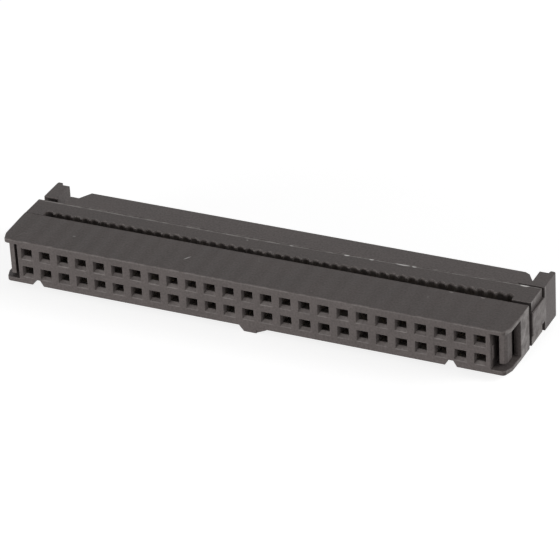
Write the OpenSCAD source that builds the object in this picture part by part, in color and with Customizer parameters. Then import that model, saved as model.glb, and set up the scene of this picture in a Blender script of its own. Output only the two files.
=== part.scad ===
// Insulation displacement socket for flat ribbon cable: two rows of contacts on a
// square grid, a press-on cable cover and a strain relief bar behind it.
// X runs along the rows, +Y from the mating face to the cable side, +Z up.
// The origin is the centre of the contact field, on the mating face.

/* [Contact field] */
// Number of contact columns
columns = 25; // [6:1:28]
// Distance between columns, and between the two rows
pitch = 2.54; // [2.2:0.01:3.5]

/* [Body] */
// Thickness across the two rows
body_h = 6.1; // [5.6:0.1:9]
// Depth from the mating face to the cable face
body_d = 6.8; // [6:0.05:10]
// Solid block beyond the centre of the end columns
block_reach = 1.32; // [1:0.01:3]
// Width of the open channel between the block and the end wall
channel_w = 1.37; // [1.2:0.01:3]
// Thickness of the end wall
end_wall_t = 0.95; // [0.5:0.01:2]
// Set back of the end wall from the mating face
end_wall_y = 4.05; // [3:0.05:5]
// Thickness of the skins above and below the channel
skin_t = 0.6; // [0.4:0.05:0.9]
// Corner cut of the skins along the rows
corner_cut_x = 0.5; // [0.1:0.05:0.8]
// Corner cut of the skins along the depth
corner_cut_y = 1.4; // [0.3:0.1:2.5]
// Taper of the skin flanks from the end wall to the corner cut
flank_taper = 0.1; // [0.05:0.05:0.5]
// Height of the stop rib on each end of the block
stop_h = 1.9; // [0.5:0.1:4]
// Distance of the stop rib above the middle plane
stop_z = -0.3; // [-0.5:0.05:0.5]
// Distance of the stop rib from the mating face
stop_y = 0.4; // [0.2:0.05:2]
// Width of the stop rib
stop_w = 0.5; // [0.2:0.05:1]
// Stand out of the stop rib
stop_t = 0.15; // [0.05:0.01:0.2]

/* [Pin entries] */
// Width of the lead-in funnel at the mating face
entry_w = 1.55; // [1.1:0.01:1.8]
// Depth of the lead-in funnel
entry_d = 0.45; // [0.2:0.05:1]
// Width of the pin hole along the row
pin_hole_w = 1.15; // [0.75:0.01:1.3]
// Height of the pin hole across the rows
pin_hole_h = 0.95; // [0.75:0.01:1.05]
// Length of the pin hole
pin_hole_d = 0.1; // [0.1:0.05:0.5]
// Clearance beside the tines in their chamber, each side
chamber_clear = 0.12; // [0.04:0.01:0.2]
// Height of the chamber across the rows
chamber_h = 1.6; // [1.2:0.05:1.8]

/* [Polarising key] */
// Width of the key where it leaves the body
key_w = 3.8; // [3:0.05:5]
// Height of the key below the body
key_h = 0.78; // [0.4:0.01:1.5]
// Length of the key along the depth
key_d = 5.2; // [2:0.1:6]
// Distance of the key centre from the middle of the row
key_offset = 0.55; // [-2:0.05:2]
// Run of the steep flank
key_steep_run = 0.63; // [0.1:0.01:1]
// Run of the shallow flank
key_shallow_run = 1.45; // [0.1:0.01:1.8]
// Depth of the bevel on the front edge of the shallow flank
key_bevel_d = 0.25; // [0.1:0.05:1]
// Height kept above that bevel
key_bevel_top = 0.15; // [0.05:0.01:0.5]

/* [Coding notches] */
// Columns to the left of the first notch
notch_1_after = 1; // [1:1:5]
// Columns to the right of the second notch
notch_2_before = 2; // [1:1:5]
// Width of a notch at the lower face
notch_w = 1.55; // [0.8:0.05:2]
// Width of a notch at its top
notch_top_w = 0.6; // [0.2:0.05:0.7]
// Height of a notch
notch_h = 0.8; // [0.2:0.05:0.85]
// Depth of a notch from the mating face
notch_d = 2; // [1:0.1:4]

/* [Contacts] */
// Thickness of the contact strip
strip_t = 0.3; // [0.2:0.01:0.4]
// Clearance of a contact in its slot, each side
strip_clear = 0.02; // [0.01:0.01:0.05]
// Width of one pin tine
tine_w = 0.32; // [0.2:0.01:0.4]
// Opening between the pin tines
tine_gap = 0.56; // [0.4:0.01:0.62]
// Distance of the tine tips from the mating face
tine_tip_y = 1.75; // [1.65:0.05:2.5]
// Corner cut of the tine tips and the fork tips
tip_cut = 0.14; // [0.05:0.01:0.2]
// Distance of the contact shoulder from the mating face
shoulder_y = 4.5; // [3.5:0.05:5]
// Depth of the web that joins the tines and the fork
web_d = 0.8; // [0.5:0.05:1.1]
// Reach of the web into its groove, on the side away from the fork
web_reach = 0.95; // [0.85:0.01:1]
// Width of the wire fork
fork_w = 0.94; // [0.7:0.01:1]
// Width of the wire slot in the fork
fork_slot_w = 0.24; // [0.15:0.01:0.3]
// Reach of the fork beyond the cable face of the body
fork_reach = 1.6; // [1:0.05:1.8]
// Width of the wire lead-in at the fork tips
fork_mouth_w = 0.56; // [0.4:0.01:0.64]

/* [Cable cover] */
// Height of the ribbon gap at the cusps of the cover
ribbon_gap = 1; // [0.6:0.05:1.2]
// Depth of a wire scallop
scallop_d = 0.4; // [0.2:0.02:0.5]
// Width of the flat cusp between two scallops
cusp_w = 0.3; // [0.1:0.02:0.5]
// Thickness of the cover behind the cusps
cover_d = 2.65; // [2:0.05:4]
// Distance from the end scallop to the end pad
pad_margin = 0.05; // [0.02:0.01:0.5]
// Gap left between the end pads and the body, cover closed
seat_gap = 0.1; // [0.02:0.01:0.2]
// Depth of the fork pockets behind the cusps
pocket_d = 1.2; // [1.05:0.05:1.7]
// Clearance of a fork in its pocket, each side
pocket_clear = 0.06; // [0.03:0.01:0.1]

/* [Cover latch] */
// Clearance between the latch arm and the pin block
arm_clear = 0.65; // [0.3:0.05:0.8]
// Thickness of the latch arm
arm_t = 0.5; // [0.3:0.05:0.6]
// Height of the latch arm
arm_h = 4.3; // [2:0.1:4.6]
// Distance of the latch tip from the mating face, cover closed
arm_tip_y = 0.5; // [0.1:0.05:1]
// Length of the latch nose
nose_d = 1.9; // [1:0.05:2.2]
// Lead-in of the latch nose across the arm
nose_lead = 0.25; // [0.1:0.05:0.5]
// Overlap of the latch nose behind the end wall
nose_catch = 0.2; // [0.05:0.01:0.4]

/* [Strain relief] */
// Depth of the bar behind the cover
bar_d = 3.65; // [2.5:0.05:5]
// Clearance between the bar and the cover
bar_clear = 0.03; // [0.02:0.01:0.1]
// Width of an end ear
ear_w = 1.95; // [1.5:0.01:3]
// Width of the slot between an ear and the bar
ear_slot_w = 1.4; // [0.6:0.05:2]
// Set back of the ears behind the cover
ear_gap = 0.95; // [0.7:0.05:1.3]
// Reach of the ears beyond the back of the bar
ear_reach = 0.7; // [0.3:0.05:1.5]
// Height of the finger ridge on an ear
ridge_d = 0.5; // [0.1:0.05:1]
// Width of the finger ridge on an ear
ridge_w = 0.7; // [0.3:0.05:1]
// Run of the flank of the finger ridge
ridge_lead = 0.1; // [0.05:0.05:0.4]
// Depth of the web between an ear and the bar
ear_web_d = 1.05; // [0.6:0.05:1.5]
// Width of the level part of the left end relief
left_relief_w = 1.15; // [0.5:0.05:3]
// Run of the chamfer at the left end of the bar
left_chamfer = 1; // [0.3:0.05:1.5]
// Run of the steep flank at the right end of the bar
right_flank = 0.85; // [0.3:0.05:1]
// Run of the corner above that flank
right_corner = 0.65; // [0.1:0.05:1]
// Depth of that corner
right_corner_d = 0.35; // [0.1:0.05:0.8]
// Height of the leg that grips the cover
leg_h = 3.3; // [2:0.1:4]
// Thickness of the leg, flush with the outer side of the ear
leg_t = 0.83; // [0.6:0.01:0.85]
// Distance of the leg tip in front of the back of the cover
leg_reach = 3; // [2:0.05:3.1]
// Distance of the leg catch behind the leg tip
leg_nose_d = 0.7; // [0.5:0.05:1]
// Inward catch of the leg
leg_catch = 0.6; // [0.3:0.01:0.65]
// Length of the leg catch
leg_catch_d = 0.8; // [0.5:0.05:1]
// Flat of the leg catch behind its lead-in
leg_catch_flat = 0.3; // [0.1:0.05:0.4]
// Clearance around the leg in the cover
leg_clear = 0.03; // [0.02:0.01:0.1]

/* [Resting state] */
// How far the right end of the cover stands open
open_gap = 0.65; // [0:0.05:0.7]
// How far the strain relief has slipped to the right in its play
relief_shift = 0.25; // [0:0.01:0.3]
// Share of the half length, from the middle, where the cover starts to lift
lift_start = 0.1; // [0:0.05:0.5]

/* [Hidden] */
$fn = 48;
eps = 0.01;
ribbon_pitch = pitch / 2;
half_span = (columns - 1) / 2 * pitch;
block_x = half_span + block_reach;
channel_x = block_x + channel_w;
half_len = channel_x + end_wall_t;
flank_x = half_len - flank_taper;
row_z = pitch / 2;
chamber_y = entry_d + pin_hole_d;
tine_span = tine_gap + 2 * tine_w;
fork_x = ribbon_pitch / 2;
web_y = shoulder_y + web_d;
fork_tip_y = body_d + fork_reach;
web_right = fork_x + fork_w / 2;
tine_x = tine_span / 2;
cusp_y = body_d + ribbon_gap;
cover_back_y = cusp_y + cover_d;
scallop_half = (ribbon_pitch - cusp_w) / 2;
scallop_r = (scallop_half * scallop_half + scallop_d * scallop_d) / (2 * scallop_d);
pad_y = body_d + seat_gap;
pad_x = columns * ribbon_pitch - cusp_w / 2 + pad_margin;
lift_x = lift_start * half_len;
arm_x = block_x + arm_clear;
pocket_y = cusp_y + pocket_d;
bar_front_y = cover_back_y + bar_clear;
bar_back_y = bar_front_y + bar_d;
ear_x = half_len - ear_w;
bar_x = ear_x - ear_slot_w;
ear_front_y = cover_back_y + ear_gap;
ear_web_y = ear_front_y + ear_web_d;
ear_back_y = bar_back_y + ear_reach;
leg_x = half_len - leg_t;
leg_tip_y = cover_back_y - leg_reach;
leg_catch_y = leg_tip_y + leg_nose_d + leg_catch_d;

contact_names = [for (row = ["a", "b"], col = [1 : columns]) str("contact_", row, col)];

// Place of a column along the row, counted from 1 at the left end.
function column_x(col) = (col - (columns + 1) / 2) * pitch;

// How far the cover, and the bar seated on it, stand back at a place along the row.
function lift(x) = open_gap * max(0, (x - lift_x) / (half_len - lift_x));

// Puts the children at every contact place. The lower row is turned half round, so
// that its forks stand between those of the upper row.
module at_contacts() {
    for (col = [1 : columns])
        translate([column_x(col), 0, 0]) {
            translate([0, 0, row_z]) children();
            translate([0, 0, -row_z]) mirror([1, 0, 0]) children();
        }
}

// Extrudes an outline in X and Y by a height centred on z = 0.
module plate(height) {
    translate([0, 0, -height / 2]) linear_extrude(height) children();
}

// A box from one corner to the opposite one.
module box(low, high) {
    translate(low) cube(high - low);
}

// Puts the children at the right end, and mirrored at the left end.
module at_both_ends() {
    children();
    mirror([1, 0, 0]) children();
}

// ---- Body ----

// Outline of the skins, with their front corners cut.
module skin_outline() {
    polygon([
        [-flank_x + corner_cut_x, 0], [flank_x - corner_cut_x, 0],
        [flank_x, corner_cut_y], [half_len, end_wall_y], [half_len, body_d],
        [-half_len, body_d], [-half_len, end_wall_y], [-flank_x, corner_cut_y]
    ]);
}

// Wedge that narrows from the mating face to the pin hole, as seen across one direction.
module entry_wedge(hole) {
    polygon([
        [-entry_w / 2, 0], [entry_w / 2, 0], [hole / 2, entry_d], [-hole / 2, entry_d]
    ]);
}

// Square funnels: the grooves along the rows crossed with those along the columns.
module entry_funnels() {
    intersection() {
        for (side = [-1, 1])
            translate([half_len, 0, side * row_z])
                rotate([0, -90, 0]) linear_extrude(2 * half_len) entry_wedge(pin_hole_h);
        for (col = [1 : columns])
            translate([column_x(col), 0, 0]) plate(body_h) entry_wedge(pin_hole_w);
    }
}

// Pin hole, tine chamber and the grooves that grip the web of one contact. The chamber
// is open to the cable side, where the contact is pressed in.
module contact_cavity() {
    chamber_w = tine_span + 2 * chamber_clear;
    groove_h = strip_t + 2 * strip_clear;
    box([-pin_hole_w / 2, entry_d - eps, -pin_hole_h / 2],
        [pin_hole_w / 2, chamber_y + eps, pin_hole_h / 2]);
    box([-chamber_w / 2, chamber_y, -chamber_h / 2],
        [chamber_w / 2, body_d + eps, chamber_h / 2]);
    box([-web_reach - strip_clear, shoulder_y, -groove_h / 2],
        [web_right + strip_clear, body_d + eps, groove_h / 2]);
}

// Lower front edge notch, between two columns.
module coding_notch() {
    rotate([-90, 0, 0]) translate([0, body_h / 2, -eps])
        linear_extrude(notch_d + eps)
            polygon([
                [-notch_w / 2 - eps, eps], [notch_w / 2 + eps, eps],
                [notch_top_w / 2, -notch_h], [-notch_top_w / 2, -notch_h]
            ]);
}

// Polarising key on the lower face.
module key() {
    rotate([-90, 0, 0]) translate([key_offset, body_h / 2, 0])
        linear_extrude(key_d)
            polygon([
                [-key_w / 2, -eps], [key_w / 2, -eps],
                [key_w / 2, 0], [key_w / 2 - key_shallow_run, key_h],
                [-key_w / 2 + key_steep_run, key_h], [-key_w / 2, 0]
            ]);
}

// Bevel under the front edge of the shallow flank of the key.
module key_bevel() {
    foot_z = -body_h / 2 - key_h - eps;
    translate([key_offset + key_w / 2, 0, 0])
        rotate([0, -90, 0]) linear_extrude(key_shallow_run)
            polygon([
                [-body_h / 2 - key_bevel_top, -eps], [foot_z, -eps], [foot_z, key_bevel_d]
            ]);
}

module body() {
    inner_h = body_h - 2 * skin_t;
    color("#4b4846") difference() {
        union() {
            plate(body_h) skin_outline();
            key();
        }
        key_bevel();
        at_both_ends() {
            difference() {
                box([block_x, -eps, -inner_h / 2], [channel_x, body_d + eps, inner_h / 2]);
                box([block_x - eps, stop_y, stop_z - stop_h / 2],
                    [block_x + stop_t, stop_y + stop_w, stop_z + stop_h / 2]);
            }
            box([channel_x - eps, -eps, -inner_h / 2],
                [half_len + eps, end_wall_y, inner_h / 2]);
        }
        entry_funnels();
        at_contacts() contact_cavity();
        for (col = [notch_1_after, columns - notch_2_before])
            translate([(column_x(col) + column_x(col + 1)) / 2, 0, 0]) coding_notch();
    }
}

// ---- Contacts ----

// Flat blank of one contact: two pin tines, a web and an offset wire fork.
module contact_outline() {
    mouth_x = fork_mouth_w / 2 - tip_cut / 2;
    difference() {
        union() {
            polygon([
                [-tine_x, shoulder_y], [-tine_x, tine_tip_y + tip_cut],
                [-tine_x + tip_cut, tine_tip_y], [tine_x - tip_cut, tine_tip_y],
                [tine_x, tine_tip_y + tip_cut], [tine_x, shoulder_y],
                [web_right, shoulder_y], [web_right, web_y],
                [-web_reach, web_y], [-web_reach, shoulder_y]
            ]);
            translate([fork_x, 0])
                polygon([
                    [-fork_w / 2, web_y - eps], [fork_w / 2, web_y - eps],
                    [fork_w / 2, fork_tip_y - 2 * tip_cut], [fork_mouth_w / 2, fork_tip_y],
                    [-fork_mouth_w / 2, fork_tip_y], [-fork_w / 2, fork_tip_y - 2 * tip_cut]
                ]);
        }
        polygon([
            [-tine_gap / 2, shoulder_y - tine_w], [-tine_gap / 2, tine_tip_y + tip_cut],
            [-tine_x + tip_cut, tine_tip_y - eps], [tine_x - tip_cut, tine_tip_y - eps],
            [tine_gap / 2, tine_tip_y + tip_cut], [tine_gap / 2, shoulder_y - tine_w]
        ]);
        translate([fork_x, 0])
            polygon([
                [-fork_slot_w / 2, web_y + tine_w], [fork_slot_w / 2, web_y + tine_w],
                [fork_slot_w / 2, fork_tip_y - 2 * tip_cut], [mouth_x, fork_tip_y + eps],
                [-mouth_x, fork_tip_y + eps], [-fork_slot_w / 2, fork_tip_y - 2 * tip_cut]
            ]);
    }
}

// One contact: row a is the upper row, row b the lower one, turned half round.
module contact(row, col) {
    color("goldenrod") translate([column_x(col), 0, row == "a" ? row_z : -row_z])
        mirror([row == "a" ? 0 : 1, 0, 0]) plate(strip_t) contact_outline();
}

// ---- Cover ----

// Outline of the cover: end pads that meet the body, and a land set back for the ribbon.
module cover_outline() {
    polygon([
        [-half_len, pad_y], [-pad_x, pad_y], [-pad_x, cusp_y],
        [lift_x, cusp_y], [pad_x, cusp_y + lift(pad_x)],
        [pad_x, pad_y + lift(pad_x)], [half_len, pad_y + lift(half_len)],
        [half_len, cover_back_y + lift(half_len)], [lift_x, cover_back_y],
        [-half_len, cover_back_y]
    ]);
}

// Latch arm of the right end, cover closed: a flat arm with an outward nose.
module latch_arm() {
    nose_x = channel_x + nose_catch;
    plate(arm_h) polygon([
        [arm_x, arm_tip_y], [nose_x - nose_lead, arm_tip_y],
        [nose_x, arm_tip_y + 2 * nose_lead], [nose_x, arm_tip_y + nose_d],
        [arm_x + arm_t, arm_tip_y + nose_d], [arm_x + arm_t, pad_y + eps],
        [arm_x, pad_y + eps]
    ]);
}

// Room for the leg of the strain relief in the right end, cover closed.
module leg_recess() {
    recess_h = leg_h + 2 * leg_clear;
    recess_x = leg_x - relief_shift - leg_clear;
    catch_front_y = leg_tip_y + leg_nose_d - open_gap - leg_clear;
    box([recess_x, pad_y - leg_clear, -recess_h / 2],
        [half_len + eps, cover_back_y + eps, recess_h / 2]);
    box([recess_x - leg_catch, catch_front_y, -recess_h / 2],
        [recess_x + eps, leg_catch_y + leg_clear, recess_h / 2]);
}

// Pocket for the tips of one fork, long enough for the lifted end too.
module fork_pocket() {
    pocket_w = fork_w + 2 * pocket_clear;
    pocket_h = strip_t + 2 * pocket_clear;
    box([fork_x - pocket_w / 2, body_d, -pocket_h / 2],
        [fork_x + pocket_w / 2, pocket_y, pocket_h / 2]);
}

module cover() {
    color("#504c4a") difference() {
        union() {
            plate(body_h) cover_outline();
            translate([0, lift(half_len), 0]) latch_arm();
            mirror([1, 0, 0]) latch_arm();
        }
        for (wire = [1 : 2 * columns]) {
            x = (wire - columns - 0.5) * ribbon_pitch;
            translate([x, cusp_y + scallop_d - scallop_r + lift(x), 0])
                cylinder(r = scallop_r, h = 2 * body_h, center = true);
        }
        at_contacts() fork_pocket();
        translate([0, lift(half_len), 0]) leg_recess();
        mirror([1, 0, 0]) leg_recess();
    }
}

// ---- Strain relief ----

// Outline of the bar: seated along the cover, with a relief at its left end and a
// chamfer at its right end.
module bar_outline() {
    left_foot = -bar_x + left_relief_w;
    polygon([
        [-bar_x, bar_front_y], [lift_x, bar_front_y],
        [bar_x, bar_front_y + lift(bar_x)], [bar_x, ear_front_y],
        [ear_x, ear_front_y], [ear_x, ear_web_y],
        [ear_x - right_flank, bar_back_y - right_corner_d],
        [ear_x - right_flank - right_corner, bar_back_y],
        [left_foot + left_chamfer, bar_back_y],
        [left_foot, ear_web_y], [-bar_x, ear_web_y]
    ]);
}

// Right ear, with its finger ridge and the leg that grips the cover.
module ear() {
    plate(body_h) polygon([
        [ear_x, ear_front_y], [half_len, ear_front_y], [half_len, ear_back_y + ridge_d],
        [half_len - ridge_w, ear_back_y + ridge_d],
        [half_len - ridge_w - ridge_lead, ear_back_y], [ear_x, ear_back_y]
    ]);
    plate(leg_h) polygon([
        [leg_x, ear_front_y + eps], [leg_x, leg_catch_y], [leg_x - leg_catch, leg_catch_y],
        [leg_x - leg_catch, leg_catch_y - leg_catch_flat], [leg_x, leg_tip_y + leg_nose_d],
        [leg_x, leg_tip_y], [half_len, leg_tip_y], [half_len, ear_front_y + eps]
    ]);
}

module strain_relief() {
    color("#565250") translate([relief_shift, 0, 0]) {
        plate(body_h) bar_outline();
        plate(leg_h) polygon([
            [-ear_x - eps, ear_front_y], [-bar_x + eps, ear_front_y],
            [-bar_x + eps, ear_web_y], [-ear_x - eps, ear_web_y]
        ]);
        at_both_ends() ear();
    }
}

body();
cover();
strain_relief();
for (row = ["a", "b"], col = [1 : columns])
    contact(row, col);
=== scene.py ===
import bmesh
import bpy
import math
from mathutils import Matrix, Vector


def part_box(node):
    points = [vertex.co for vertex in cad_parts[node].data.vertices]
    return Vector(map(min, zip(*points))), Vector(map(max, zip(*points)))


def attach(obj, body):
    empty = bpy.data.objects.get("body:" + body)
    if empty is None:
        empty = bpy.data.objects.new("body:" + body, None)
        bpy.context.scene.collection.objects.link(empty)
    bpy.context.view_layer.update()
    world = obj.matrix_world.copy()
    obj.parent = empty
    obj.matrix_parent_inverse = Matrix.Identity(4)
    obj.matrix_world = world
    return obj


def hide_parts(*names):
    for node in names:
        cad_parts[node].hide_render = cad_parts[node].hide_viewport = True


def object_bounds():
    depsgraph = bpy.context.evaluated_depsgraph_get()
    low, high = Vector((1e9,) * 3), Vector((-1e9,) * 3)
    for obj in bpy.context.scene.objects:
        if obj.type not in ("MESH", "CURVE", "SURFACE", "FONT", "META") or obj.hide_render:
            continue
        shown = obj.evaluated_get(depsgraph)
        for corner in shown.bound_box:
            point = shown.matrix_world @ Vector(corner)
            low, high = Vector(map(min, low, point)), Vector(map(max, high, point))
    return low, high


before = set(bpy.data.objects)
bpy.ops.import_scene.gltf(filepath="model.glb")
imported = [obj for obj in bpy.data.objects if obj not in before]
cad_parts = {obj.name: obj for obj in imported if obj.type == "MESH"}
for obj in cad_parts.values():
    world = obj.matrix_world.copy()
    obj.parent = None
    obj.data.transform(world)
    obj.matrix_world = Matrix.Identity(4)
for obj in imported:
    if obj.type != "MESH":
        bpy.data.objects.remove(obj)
cad_low, cad_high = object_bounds()

# ---- Viewpoint ----
# A long lens well in front of the mating face, a little to the right and above, so that
# the rows of entries, the cable side and the right end all show.

aim = Vector((0.0021668, 0.005, 0.0012637))
view_distance = 0.42197
turn = math.radians(26.262)
rise = math.radians(30.329)
roll = math.radians(-3.354)

camera_data = bpy.data.cameras.new("camera")
camera_data.sensor_width = 36
camera_data.lens = 221.19
camera_data.clip_start = 0.01
camera_data.clip_end = 20
camera = bpy.data.objects.new("camera", camera_data)
bpy.context.scene.collection.objects.link(camera)
facing = (Matrix.Rotation(turn, 4, "Z") @ Matrix.Rotation(math.pi / 2 - rise, 4, "X")
          @ Matrix.Rotation(roll, 4, "Z"))
camera.matrix_world = Matrix.Translation(aim + facing.col[2].to_3d() * view_distance) @ facing
bpy.context.scene.camera = camera

# ---- Body ----
# The insulator that holds both rows of contacts, moulded in one piece in satin black
# glass-filled polyester. The tool leaves a small radius on its outer edges, and handling
# rubs them a little paler. The brow, the sills and the upward faces of the entries are
# also painted paler as highlights, and the cavities behind the entries as painted light.

body_edge = 0.00008
body_brow = 0.00016
body_corner = 0.00035
entry_edge = 0.00005
entry_sill = 0.00008

# the field of entries: its half length, the heights it lies between, the depth of the
# funnels, and the half height of the cavities behind them
field_half = 0.0315
field_foot = -0.00215
field_head = 0.0027
entry_depth = 0.00045
cavity_half_h = 0.0027
column_pitch = 0.00254
columns = 25

# the height of each row's sills, and how pale their painted highlight is
sills = ((0.000495, 2.2), (-0.002045, 1.6))

# the end channels: their inner and outer sides
channel_inner = 0.0316
channel_outer = 0.0328

# two points within same_point are one, and places within same_plane are in one plane
same_point = 1e-6
same_plane = 0.0001
sharp_angle = math.radians(25)

# the faces this near the right end are the ones made paler
end_depth = 0.0004


def work_on(piece):
    """Picks a piece alone and makes it the active one."""
    bpy.ops.object.select_all(action="DESELECT")
    bpy.context.view_layer.objects.active = piece
    piece.select_set(True)


def pick(piece, kind, chosen):
    """Goes into edit mode with the items picked, FACE or EDGE, that chosen(item) is true for."""
    work_on(piece)
    bpy.ops.object.mode_set(mode="EDIT")
    bpy.ops.mesh.select_mode(type=kind)
    bpy.ops.mesh.select_all(action="DESELECT")
    mesh = bmesh.from_edit_mesh(piece.data)
    for item in (mesh.faces if kind == "FACE" else mesh.edges):
        if chosen(item):
            item.select_set(True)
    bmesh.update_edit_mesh(piece.data)


def moulding(node, name):
    """One closed surface with the shape of a CAD node, in whole flat faces."""
    piece = bpy.data.objects.new(name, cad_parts[node].data.copy())
    bpy.context.scene.collection.objects.link(piece)
    piece.data.materials.clear()
    work_on(piece)
    bpy.ops.object.mode_set(mode="EDIT")
    bpy.ops.mesh.select_all(action="SELECT")
    bpy.ops.mesh.remove_doubles(threshold=same_point)
    bpy.ops.mesh.dissolve_limited(angle_limit=math.radians(0.4))
    bpy.ops.object.mode_set(mode="OBJECT")
    piece.data.attributes.new("wear_and_painted_light", "FLOAT", "FACE")
    return piece


def split(piece, direction, places, chosen=lambda face: True):
    """Splits the chosen faces at places along a direction, so that edges round evenly."""
    for place in places:
        pick(piece, "FACE", chosen)
        bpy.ops.mesh.bisect(plane_co=Vector(direction) * place, plane_no=direction,
                            threshold=same_point)
        bpy.ops.object.mode_set(mode="OBJECT")


def even_front(piece):
    """Makes a grid of rectangles of the mating face, along the rims of its entries."""

    def in_front(face, low, high):
        middle = face.calc_center_median()
        return face.normal.y < -0.99 and middle.y < 0.00001 and low < middle.z < high

    def in_field(face):
        return in_front(face, field_foot, field_head)

    def slants(edge):
        along = edge.verts[0].co - edge.verts[1].co
        return max(abs(along.x), abs(along.z)) < 0.99999 * along.length

    rims = [vertex.co.copy() for vertex in piece.data.vertices
            if vertex.co.y < same_point and abs(vertex.co.x) < field_half
            and field_foot < vertex.co.z < field_head]
    split(piece, (0, 0, 1), (field_foot, 0, field_head))
    for low, high in ((-1, field_foot), (field_head, 1)):
        pick(piece, "FACE", lambda face: in_front(face, low, high))
        bpy.ops.mesh.dissolve_faces()
        bpy.ops.object.mode_set(mode="OBJECT")
    split(piece, (1, 0, 0), [-channel_outer, -channel_inner, channel_inner, channel_outer]
          + [(gap - columns / 2) * column_pitch for gap in range(1, columns)])
    split(piece, (1, 0, 0), sorted({round(rim.x, 6) for rim in rims}), in_field)
    split(piece, (0, 0, 1), sorted({round(rim.z, 6) for rim in rims}), in_field)
    pick(piece, "EDGE", lambda edge: all(in_field(face) for face in edge.link_faces)
         and slants(edge))
    bpy.ops.mesh.dissolve_edges(use_verts=True)
    bpy.ops.object.mode_set(mode="OBJECT")


def round_edges(piece, width, steps, chosen, wear_and_painted_light=0.0):
    """Rounds the outer edges that chosen(middle, direction) picks, and makes them paler by an
    amount that stands for wear and for painted highlights.
    """

    def is_picked(edge):
        a, b = edge.verts[0].co, edge.verts[1].co
        return (len(edge.link_faces) == 2 and edge.is_convex
                and edge.calc_face_angle(0) > sharp_angle
                and chosen((a + b) / 2, (b - a).normalized()))

    pick(piece, "EDGE", is_picked)
    bpy.ops.mesh.bevel(offset=width, segments=steps, profile=0.5, affect="EDGES",
                       clamp_overlap=False, loop_slide=False)
    mesh = bmesh.from_edit_mesh(piece.data)
    layer = mesh.faces.layers.float["wear_and_painted_light"]
    for face in mesh.faces:
        if face.select:
            face[layer] = wear_and_painted_light
    bmesh.update_edit_mesh(piece.data)
    bpy.ops.object.mode_set(mode="OBJECT")


def settle(piece, node):
    """Keeps a piece inside its node's box, its flats flat and its rounded edges smooth."""
    low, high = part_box(node)
    for vertex in piece.data.vertices:
        vertex.co = [min(max(value, least), most)
                     for value, least, most in zip(vertex.co, low, high)]
    work_on(piece)
    bpy.ops.object.shade_smooth_by_angle(angle=math.radians(35))
    weighted = piece.modifiers.new("weighted", "WEIGHTED_NORMAL")
    weighted.keep_sharp = True
    bpy.ops.object.modifier_apply(modifier=weighted.name)


def paint_wear_and_light(piece, amount, chosen):
    """Marks the flat faces that chosen(middle, normal) picks as paler, for wear and for painted
    light.
    """
    layer = piece.data.attributes["wear_and_painted_light"]
    for face in piece.data.polygons:
        if chosen(face.center, face.normal):
            layer.data[face.index].value = amount


def end_face(high):
    """Chooses the flat faces at the right end of a piece whose highest corner is high."""
    return lambda middle, normal: normal.x > 0.9 and middle.x > high.x - end_depth


class Wiring:
    """Adds nodes to the node tree of a material or a world, and joins them up."""

    def __init__(self, tree):
        self.nodes, self.links = tree.nodes, tree.links

    def feed(self, socket, value):
        """Links another socket to this one, or sets a plain value."""
        if isinstance(value, bpy.types.NodeSocket):
            self.links.new(value, socket)
        else:
            socket.default_value = value

    def add(self, kind, inputs, **settings):
        """A new node with its settings, and each input fed by its name or number."""
        node = self.nodes.new(kind)
        for name, value in settings.items():
            setattr(node, name, value)
        for name, value in inputs.items():
            self.feed(node.inputs[name], value)
        return node

    def noise(self, vector, scale, detail):
        inputs = {"Vector": vector, "Scale": scale, "Detail": detail}
        return self.add("ShaderNodeTexNoise", inputs).outputs["Fac"]

    def ranged(self, value, low, high, to_low, to_high):
        inputs = {"Value": value, "From Min": low, "From Max": high,
                  "To Min": to_low, "To Max": to_high}
        return self.add("ShaderNodeMapRange", inputs).outputs["Result"]

    def maths(self, kind, *values):
        node = self.add("ShaderNodeMath", dict(enumerate(values)), operation=kind)
        return node.outputs["Value"]

    def blend(self, share, first, second):
        inputs = {"Factor": share, "A": first, "B": second}
        return self.add("ShaderNodeMix", inputs, data_type="RGBA").outputs["Result"]


def hairlines(wiring, plain, stretched):
    """Hairline scratches: thin cell borders in stretched space, kept only in patches."""
    cells = wiring.add("ShaderNodeTexVoronoi", {"Vector": stretched, "Scale": 1},
                       feature="DISTANCE_TO_EDGE")
    patches = wiring.ranged(wiring.noise(plain, 240, 2), 0.64, 0.70, 0, 1)
    lines = wiring.ranged(cells.outputs["Distance"], 0.003, 0.010, 1, 0)
    return wiring.maths("MULTIPLY", lines, patches)


def dust(wiring, plain):
    """Small pale specks, in patches."""
    dots = wiring.add("ShaderNodeTexVoronoi", {"Vector": plain, "Scale": 700})
    room = wiring.ranged(wiring.noise(plain, 420, 1), 0.58, 0.64, 0, 1)
    specks = wiring.ranged(dots.outputs["Distance"], 0.05, 0.09, 1, 0)
    return wiring.maths("MULTIPLY", specks, room)


def dents_and_glints(wiring, place, nicks_and_glints):
    """Short pale spots, each long and thin: real dents, and painted glints along lit edges."""
    palest_spot = 0.0
    for middle, half_length, half_width, run, bright in nicks_and_glints:
        inputs = {"Vector": place, "Location": middle, "Rotation": (0, 0, math.radians(run)),
                  "Scale": (half_length, half_width, half_width)}
        near = wiring.add("ShaderNodeMapping", inputs, vector_type="TEXTURE")
        reach = wiring.add("ShaderNodeVectorMath", {0: near.outputs["Vector"]},
                           operation="LENGTH")
        spot = wiring.ranged(reach.outputs["Value"], 0.6, 1.1, bright, 0)
        palest_spot = wiring.maths("MAXIMUM", palest_spot, spot)
    return palest_spot


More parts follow.
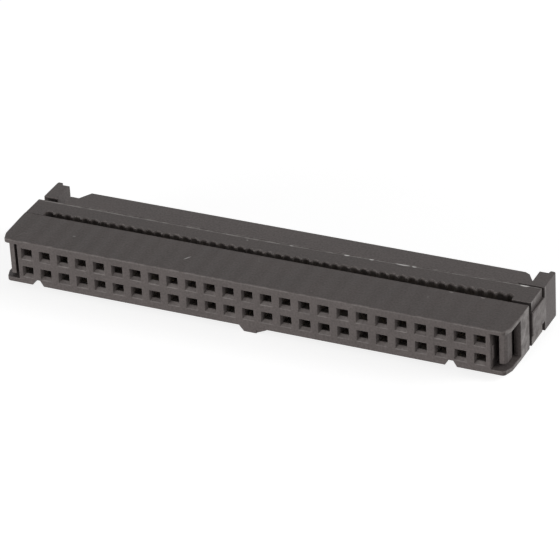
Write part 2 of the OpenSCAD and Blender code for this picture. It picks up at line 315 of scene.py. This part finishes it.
def sink_waves(wiring, place, normal, depth):
    """Shallow waves along the rows, on the faces that lie flat over and under the cavities."""
    row = wiring.add("ShaderNodeSeparateXYZ", {"Vector": place})
    turns = wiring.maths("MULTIPLY", row.outputs["X"], 2 * math.pi / column_pitch)
    facing = wiring.add("ShaderNodeSeparateXYZ", {"Vector": normal})
    height = wiring.maths("MULTIPLY", wiring.maths("COSINE", turns),
                          wiring.maths("ABSOLUTE", facing.outputs["Z"]))
    return wiring.add("ShaderNodeBump", {"Height": height, "Distance": depth}).outputs["Normal"]


def satin_plastic(name, colour, roughness, shift, nicks_and_glints=(), sink=0.0):
    """Black moulded plastic with fine grain, faint clouds, scratches, dust, rubbed edges, and
    painted highlights and painted light on marked faces.

    nicks_and_glints are short pale spots, real dents and painted glints: the middle of each, its
    half length and half width, the way it runs and how bright it is. sink is the depth of the
    shallow waves that the cavities inside leave on the broad faces.
    """
    material = bpy.data.materials.new(name)
    material.use_nodes = True
    wiring = Wiring(material.node_tree)
    shader = wiring.nodes["Principled BSDF"].inputs
    shader["Specular IOR Level"].default_value = 0.15
    surface = wiring.add("ShaderNodeTexCoord", {}).outputs
    place = surface["Object"]
    moved = {"Vector": place, "Location": shift}
    plain = wiring.add("ShaderNodeMapping", moved).outputs["Vector"]
    stretched = wiring.add("ShaderNodeMapping", {**moved, "Scale": (90, 420, 420)})
    clouds = wiring.noise(plain, 260, 3)
    grain = wiring.noise(plain, 3600, 3)
    pores = wiring.noise(plain, 12000, 2)
    scratches = hairlines(wiring, plain, stretched.outputs["Vector"])
    wear_and_painted_light = wiring.add("ShaderNodeAttribute", {}, attribute_name="wear_and_painted_light").outputs["Fac"]
    broken = wiring.ranged(wiring.noise(plain, 900, 3), 0.40, 0.66, 0.25, 1)
    wear_and_light = wiring.maths("MULTIPLY", wear_and_painted_light, broken)

    shade = wiring.maths("ADD", wiring.ranged(clouds, 0.3, 0.7, 0.92, 1.08),
                         wiring.ranged(grain, 0.3, 0.7, -0.2, 0.2))
    tone = wiring.add("ShaderNodeVectorMath", {0: colour, "Scale": shade}, operation="SCALE")
    # pale marks: scratches, dust, wear, and painted highlights and painted light on the marked
    # faces
    marks_and_painted_light = wiring.maths("ADD", wiring.maths("MULTIPLY", scratches, 0.2),
                         wiring.maths("ADD", wiring.maths("MULTIPLY", dust(wiring, plain), 0.3),
                                      wiring.maths("MULTIPLY", wear_and_light, 0.35)))
    base = wiring.blend(wiring.maths("MINIMUM", marks_and_painted_light, 1.0), tone.outputs["Vector"],
                        (0.25, 0.23, 0.22, 1))
    if nicks_and_glints:
        # the pale spots: real dents, and painted glints
        base = wiring.blend(dents_and_glints(wiring, place, nicks_and_glints), base, (0.80, 0.78, 0.76, 1))
    wiring.feed(shader["Base Color"], base)

    gloss = wiring.ranged(clouds, 0.3, 0.7, roughness - 0.03, roughness + 0.03)
    gloss = wiring.maths("SUBTRACT", gloss, wiring.maths("MULTIPLY", wear_and_light, 0.06))
    wiring.feed(shader["Roughness"], gloss)

    height = wiring.maths("SUBTRACT", wiring.maths("ADD", pores, grain), scratches)
    fine = wiring.add("ShaderNodeBump", {"Height": height, "Strength": 0.5,
                                         "Distance": 0.000016})
    if sink:
        waves = sink_waves(wiring, place, surface["Normal"], sink)
        wiring.feed(fine.inputs["Normal"], waves)
    wiring.feed(shader["Normal"], fine.outputs["Normal"])
    return material


body_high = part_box("body")[1]
# pale spots on the body: real nicks on the top, and painted glints along its back edge
body_nicks_and_glints = [((-0.00953, 0.0033, body_high.z), 0.00060, 0.00011, 58, 0.40),
              ((-0.02535, 0.0034, body_high.z), 0.00022, 0.00012, 20, 0.20),
              ((0.0283, 0.0066, body_high.z), 0.00030, 0.00008, 0, 0.35),
              ((0.0242, 0.0066, body_high.z), 0.00035, 0.00008, 0, 0.35),
              ((0.0220, 0.0046, body_high.z), 0.00015, 0.00008, 40, 0.20)]
body = moulding("body", "insulator")
even_front(body)

# how far back the brow and the round corners reach, and where the ends, the top and the
# underside begin
brow_depth = 0.0042
corner_depth = 0.003
corner_zone = body_high.x - 0.0008
body_end_zone = 0.0317
body_top_zone = 0.003
entry_zone = 0.0029
round_edges(body, body_corner, 4,
            lambda middle, along: abs(along.z) > 0.9 and abs(middle.x) > corner_zone
            and middle.y < corner_depth)
# the brow along the front top edge is painted paler: a painted highlight, with some wear
round_edges(body, body_brow, 4,
            lambda middle, along: middle.z > body_high.z - same_plane and middle.y < brow_depth
            and abs(along.z) < 0.5, wear_and_painted_light=0.8)
round_edges(body, body_edge, 3,
            lambda middle, along: middle.z < body_top_zone
            and middle.y < body_high.y - same_plane
            and (abs(middle.x) > body_end_zone or middle.z < -body_top_zone), wear_and_painted_light=0.5)
# the lower edges of the entries are painted paler as highlights, the upper row more
for sill, sill_highlight in sills:
    round_edges(body, entry_sill, 3,
                lambda middle, along: middle.y < same_plane and abs(middle.x) < field_half
                and abs(along.x) > 0.9 and abs(middle.z - sill) < same_plane, wear_and_painted_light=sill_highlight)
round_edges(body, entry_edge, 3,
            lambda middle, along: middle.y < same_plane and abs(middle.x) < field_half
            and abs(middle.z) < entry_zone, wear_and_painted_light=0.3)
settle(body, "body")
paint_wear_and_light(body, 2.8, end_face(body_high))
# the faces that face up in the mouths of the entries are painted paler, as light from above
paint_wear_and_light(body, 0.7, lambda middle, normal: normal.z > 0.3 and middle.y < entry_depth)
# the walls of the cavities behind the entries are painted much paler, as painted light inside
# them
paint_wear_and_light(body, 4.5, lambda middle, normal: middle.y > entry_depth and abs(middle.x) < field_half
    and abs(middle.z) < cavity_half_h)
body.data.materials.append(
    satin_plastic("black_insulator", (0.088, 0.076, 0.073), 0.50, (0, 0, 0),
                  nicks_and_glints=body_nicks_and_glints, sink=0.00003))
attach(body, "root")
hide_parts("body")

# ---- Cable cover ----
# The cover that presses the cable onto the wire forks: a bar with a scallop for each
# wire, and a latch arm at each end that runs forward in the channels of the body. It is
# moulded in the same black polyester.

cover_edge = 0.00006
arm_edge = 0.00008

# the arms lie in front of arm_zone; the edges of the pads lie behind pad_zone, beyond
# pad_flank and above or below pad_face; the scalloped front lies behind scallop_zone
arm_zone = 0.006
pad_zone = 0.0065
pad_flank = 0.0338
pad_face = 0.0029
scallop_zone = 0.0068

# the back edge runs straight, then leans out where the cover stands open; a narrow strip along
# it is painted pale as a highlight, with painted glints
cover_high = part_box("cover")[1]
back_bend = Vector((0.00341, 0.01045, cover_high.z))
back_way = Vector((-0.0211, 1, 0)).normalized()
back_highlight_band = 0.00028
back_highlight_strip = 0.00017
# painted glints along the back edge of the top of the cover
cover_glints = [((-0.0044, 0.0098, cover_high.z), 0.00015, 0.00012, 0, 0.25),
               ((0.0014, 0.01042, cover_high.z), 0.00030, 0.00018, 0, 0.55),
               ((0.0088, 0.01051, cover_high.z), 0.00038, 0.00020, 1, 0.95),
               ((0.0121, 0.01058, cover_high.z), 0.00032, 0.00020, 1, 0.90),
               ((0.0162, 0.01067, cover_high.z), 0.00095, 0.00019, 1, 0.85),
               ((0.0177, 0.01070, cover_high.z), 0.00032, 0.00019, 1, 0.85),
               ((0.0320, 0.01099, cover_high.z), 0.00062, 0.00024, 1, 1.00)]


def back_highlight_faces(middle, normal):
    """True for the narrow faces along the back edge of the top of the cover, which carry the
    painted highlight.
    """
    if normal.z < 0.9 or middle.z < cover_high.z - same_plane:
        return False
    if middle.x < back_bend.x:
        return middle.y > back_bend.y - back_highlight_band
    return (middle - back_bend).dot(back_way) > -back_highlight_strip


cover = moulding("cover", "cable_cover")
split(cover, (0, 1, 0), [back_bend.y - back_highlight_band])
split(cover, back_way, [back_bend.dot(back_way) - back_highlight_strip])
round_edges(cover, arm_edge, 3, lambda middle, along: middle.y < arm_zone, wear_and_painted_light=0.3)
round_edges(cover, cover_edge, 3,
            lambda middle, along: middle.y > pad_zone and abs(middle.z) > pad_face
            and abs(middle.x) > pad_flank, wear_and_painted_light=0.6)
settle(cover, "cover")
paint_wear_and_light(cover, 1.2, lambda middle, normal: normal.y < -0.3 and middle.y > scallop_zone)
paint_wear_and_light(cover, 2.4, end_face(cover_high))
# the strip along the back edge of the top of the cover is painted pale as a highlight
paint_wear_and_light(cover, 3.2, lambda middle, normal: back_highlight_faces(middle, normal) and middle.x < back_bend.x)
paint_wear_and_light(cover, 2.8, lambda middle, normal: back_highlight_faces(middle, normal) and middle.x > back_bend.x)
cover.data.materials.append(
    satin_plastic("black_cover", (0.088, 0.076, 0.073), 0.48, (0.3, 0.1, 0.2),
                  nicks_and_glints=cover_glints))
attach(cover, "root")
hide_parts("cover")

# ---- Strain relief ----
# The clip that the cable folds over: a bar along the cover, with an ear at each end for
# the fingers and legs that grip the ends of the cover. Also moulded in black polyester,
# from another tool, so a shade lighter.

relief_edge = 0.00008
bar_brow = 0.0002
ear_corner = 0.00025
leg_edge = 0.00014

# where the front edges of the bar end, where the corners of the ears and the ears begin,
# and where the legs end
bar_front_zone = 0.0112
ear_corner_zone = 0.0142
ear_front = cover_high.y + 0.0002
leg_root = 0.0118

# half the height of the legs, and the height past which the edges are outer ones
leg_half_h = 0.0018
relief_face = 0.0029

# the bar is split at these places, so that its long edges round evenly
bar_joints = (-0.0290, -0.0150, 0.0034, 0.0180, 0.0300)

relief = moulding("strain_relief", "strain_relief_clip")
split(relief, (1, 0, 0), bar_joints)
split(relief, (0, 1, 0), [leg_root])
relief_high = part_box("strain_relief")[1]
ear_flank = relief_high.x - 0.0006
round_edges(relief, ear_corner, 4,
            lambda middle, along: abs(along.z) > 0.9 and middle.y > ear_corner_zone
            and abs(middle.x) > ear_flank)
# the front top edges of the bar are painted paler as a highlight along the joint with the cover
round_edges(relief, bar_brow, 4,
            lambda middle, along: abs(middle.z) > relief_high.z - same_plane
            and middle.y < bar_front_zone and abs(along.x) > 0.9, wear_and_painted_light=1.8)
round_edges(relief, relief_edge, 3,
            lambda middle, along: abs(middle.z) > relief_face or middle.y > ear_front,
            wear_and_painted_light=0.3)
# the outer edges of the legs are painted paler: painted light over the shade along them
round_edges(relief, leg_edge, 3,
            lambda middle, along: middle.x > relief_high.x - same_plane
            and middle.y < ear_front and abs(middle.z) < leg_half_h, wear_and_painted_light=1.6)
settle(relief, "strain_relief")
paint_wear_and_light(relief, 1.6, lambda middle, normal: normal.x > 0.9
    and middle.x > relief_high.x - same_plane and middle.y < leg_root)
relief.data.materials.append(
    satin_plastic("black_relief", (0.106, 0.092, 0.089), 0.48, (0.7, 0.4, 0.6)))
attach(relief, "root")
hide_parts("strain_relief")

# ---- Contacts ----
# Flat strip contacts stamped from a copper alloy and plated, one in each cavity. Their
# tines stand behind the square entries and their forks in the cover. They are kept as
# the stamping leaves them, with square edges.

plating = bpy.data.materials.new("plated_strip")
plating.use_nodes = True
plate_wiring = Wiring(plating.node_tree)
plate_shader = plate_wiring.nodes["Principled BSDF"].inputs
plate_shader["Metallic"].default_value = 1
plate_place = plate_wiring.add("ShaderNodeTexCoord", {}).outputs["Object"]
rolled = plate_wiring.noise(plate_place, 2500, 3)
plate_tone = plate_wiring.add("ShaderNodeValToRGB", {"Fac": rolled})
plate_tone.color_ramp.elements[0].color = (0.42, 0.35, 0.20, 1)
plate_tone.color_ramp.elements[1].color = (0.62, 0.53, 0.33, 1)
plate_wiring.feed(plate_shader["Base Color"], plate_tone.outputs["Color"])
plate_wiring.feed(plate_shader["Roughness"], plate_wiring.ranged(rolled, 0, 1, 0.25, 0.45))

for node_name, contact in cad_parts.items():
    if node_name.startswith("contact_"):
        contact.data.materials.clear()
        contact.data.materials.append(plating)

# ---- Floor and light ----
# A plain white floor under the key of the body, white all round, and three large soft
# lamps: a low one in front, one beside it on the left, and one on the right behind.


def looked_at(wiring):
    """A socket that is 1 for the rays that look at a surface and 0 for those that light it."""
    rays = wiring.add("ShaderNodeLightPath", {}).outputs
    seen = rays["Is Camera Ray"]
    for name in ("Is Glossy Ray", "Is Transmission Ray"):
        seen = wiring.maths("MAXIMUM", seen, rays[name])
    return seen


bpy.ops.object.select_all(action="DESELECT")
bpy.ops.mesh.primitive_plane_add(size=6, location=(0, 0, cad_low.z))
floor = bpy.context.object
floor.name = "floor"
floor_material = bpy.data.materials.new("white_floor")
floor_material.use_nodes = True
floor_wiring = Wiring(floor_material.node_tree)
floor_wiring.nodes.remove(floor_wiring.nodes["Principled BSDF"])
floor_matt = floor_wiring.add("ShaderNodeBsdfDiffuse", {"Color": (0.5, 0.5, 0.5, 1)})
floor_level = floor_wiring.maths("MULTIPLY", looked_at(floor_wiring), 0.78)
floor_glow = floor_wiring.add("ShaderNodeEmission", {"Strength": floor_level})
floor_sum = floor_wiring.add("ShaderNodeAddShader", {0: floor_matt.outputs["BSDF"],
                                                     1: floor_glow.outputs["Emission"]})
floor_wiring.feed(floor_wiring.nodes["Material Output"].inputs["Surface"],
                  floor_sum.outputs["Shader"])
floor.data.materials.append(floor_material)

world = bpy.data.worlds.new("white")
bpy.context.scene.world = world
world.use_nodes = True
world_wiring = Wiring(world.node_tree)
ambient = world_wiring.nodes["Background"].inputs
ambient["Color"].default_value = (1, 1, 1, 1)
world_wiring.feed(ambient["Strength"],
                  world_wiring.ranged(looked_at(world_wiring), 0, 1, 0.2, 1.0))


def soft_lamp(name, place, width, height, power):
    """A rectangular area lamp that faces the middle of the part."""
    lamp = bpy.data.lights.new(name, "AREA")
    lamp.shape = "RECTANGLE"
    lamp.size = width
    lamp.size_y = height
    lamp.energy = power
    lamp_object = bpy.data.objects.new(name, lamp)
    lamp_object.location = place
    lamp_object.rotation_euler = (aim - Vector(place)).to_track_quat("-Z", "Y").to_euler()
    bpy.context.scene.collection.objects.link(lamp_object)


soft_lamp("lamp_left", (-0.50, -0.60, 0.10), 0.40, 0.16, 2.5)
soft_lamp("lamp_front", (-0.15, -0.75, 0.09), 0.40, 0.16, 3.5)
soft_lamp("lamp_right", (0.60, 0.25, 0.30), 0.40, 0.40, 2.9)

bpy.context.scene.view_settings.view_transform = "Standard"
